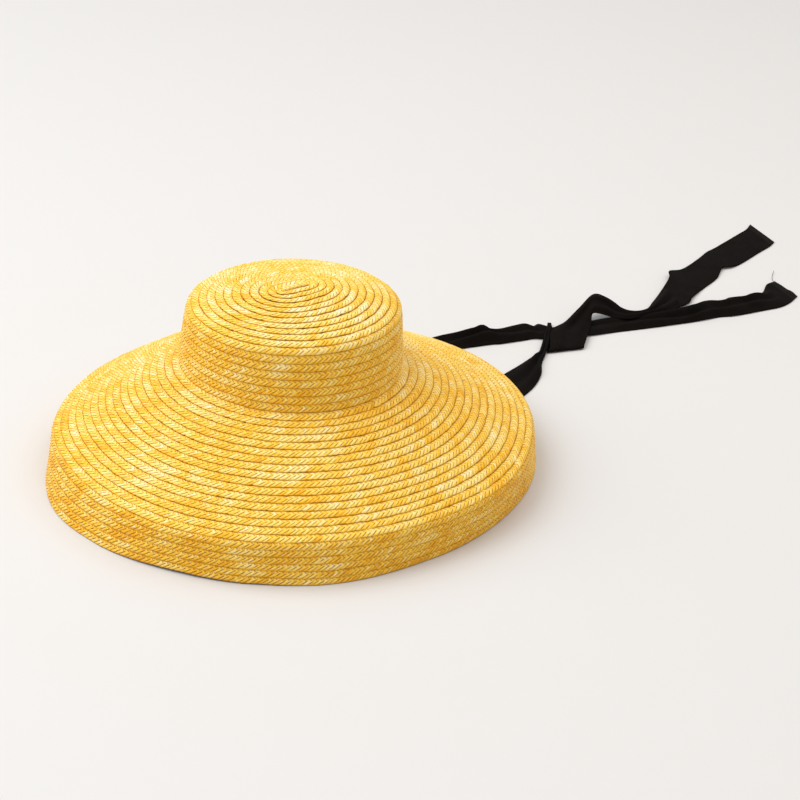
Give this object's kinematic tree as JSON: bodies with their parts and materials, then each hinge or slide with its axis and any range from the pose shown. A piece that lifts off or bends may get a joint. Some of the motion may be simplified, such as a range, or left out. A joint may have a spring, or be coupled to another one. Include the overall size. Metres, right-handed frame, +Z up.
{
  "type": "wide-brim straw hat with ties",
  "caption": "Wide-brim straw hat with a low flat-topped crown, a sloping brim turned down at the edge, and two long cotton ties.",
  "frame": {"origin": "on the surface that the hat rests on, under the middle of the brim's hem outline", "axes": "+Z up out of the crown, +Y towards the back of the hat, where the ties run out along the brim's longer way, +X towards the wearer's right"},
  "size_m": [0.3816, 0.9613, 0.169],
  "materials": {
    "straw": "glossy golden wheat-straw braid, sewn in a spiral",
    "cotton": "matt black woven cotton, hemmed ends"
  },
  "bodies": {
    "root": {"crown": "straw", "brim": "straw", "tie_far": "cotton", "tie_near": "cotton"}
  },
  "joints": []
}
